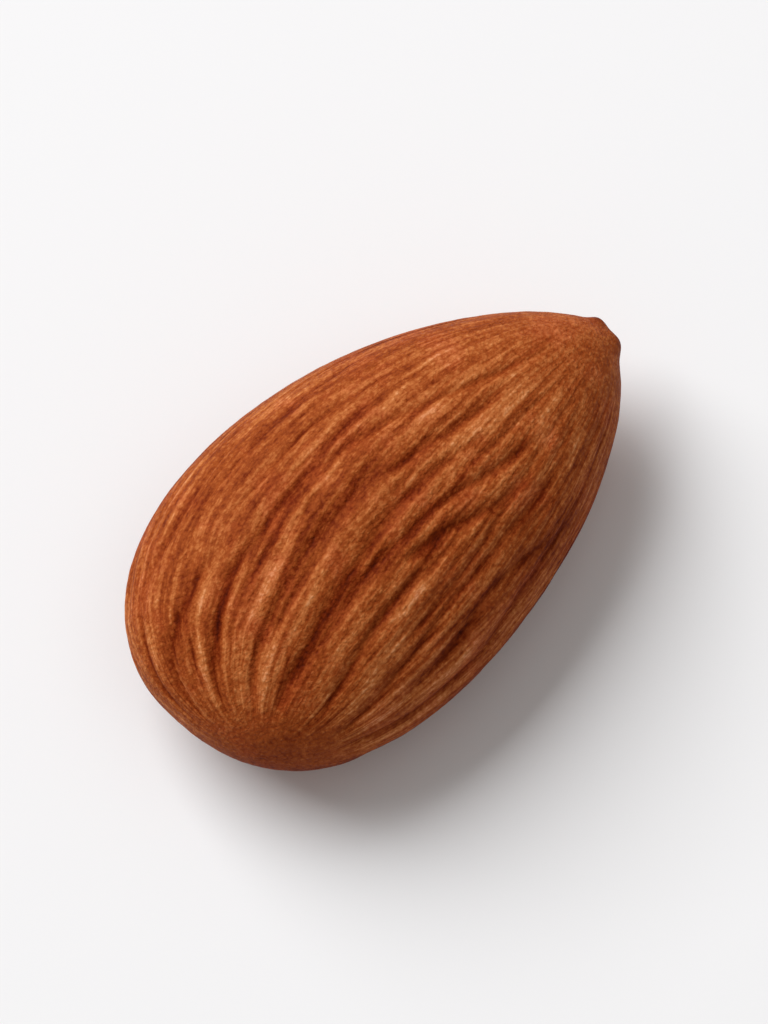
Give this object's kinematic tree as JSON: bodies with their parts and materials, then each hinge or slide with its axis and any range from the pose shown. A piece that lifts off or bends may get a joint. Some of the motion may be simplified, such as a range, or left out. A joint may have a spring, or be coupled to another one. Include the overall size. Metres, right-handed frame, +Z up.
{
  "type": "almond kernel",
  "caption": "Shelled almond kernel in its brown, lengthwise-veined skin: a flattened teardrop with one pointed end, lying on one broad face.",
  "frame": {"origin": "under the middle of the kernel's bounding box, on the surface that it rests on", "axes": "+X from the blunt end to the pointed tip, +Z up through the two broad faces, -Y towards the edge that carries the raphe and that the tip leans to"},
  "size_m": [0.023, 0.014, 0.0086],
  "materials": {
    "skin": "matte brown seed coat with darker lengthwise veins"
  },
  "bodies": {
    "root": {"almond": "skin"}
  },
  "joints": []
}
